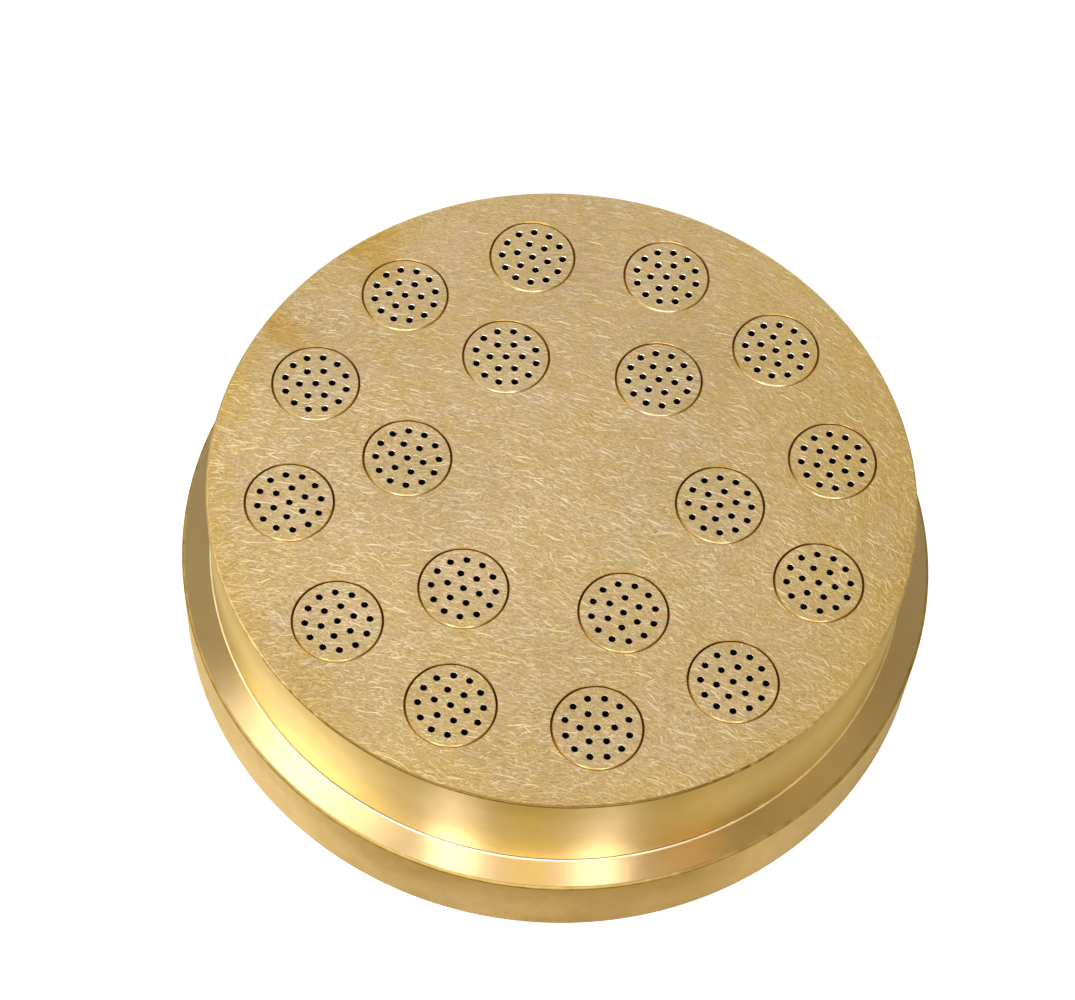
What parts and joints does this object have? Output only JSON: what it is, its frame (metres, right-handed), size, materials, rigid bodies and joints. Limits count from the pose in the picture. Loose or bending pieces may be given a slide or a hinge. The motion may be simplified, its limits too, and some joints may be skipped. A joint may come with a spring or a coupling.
{
  "type": "pasta extrusion die",
  "caption": "Round brass pasta die with a clamping flange; rings of flush inserts with fine holes shape dough pressed from the back into thin strands.",
  "frame": {"origin": "centre of the flange's back face, on the die's axis", "axes": "+Z along the die's axis, from the dough side to the strand face; +X through one of the inner inserts"},
  "size_m": [0.113, 0.113, 0.031],
  "materials": {
    "body_brass": "sanded satin face, smooth turned wall and flange",
    "insert_brass": "sanded satin face, drilled holes"
  },
  "bodies": {
    "root": {"die_body": "body_brass", "insert_outer_01": "insert_brass", "insert_outer_02": "insert_brass", "insert_outer_03": "insert_brass", "insert_outer_04": "insert_brass", "insert_outer_05": "insert_brass", "insert_outer_06": "insert_brass", "insert_outer_07": "insert_brass", "insert_outer_08": "insert_brass", "insert_outer_09": "insert_brass", "insert_outer_10": "insert_brass", "insert_outer_11": "insert_brass", "insert_outer_12": "insert_brass", "insert_inner_01": "insert_brass", "insert_inner_02": "insert_brass", "insert_inner_03": "insert_brass", "insert_inner_04": "insert_brass", "insert_inner_05": "insert_brass", "insert_inner_06": "insert_brass"}
  },
  "joints": []
}
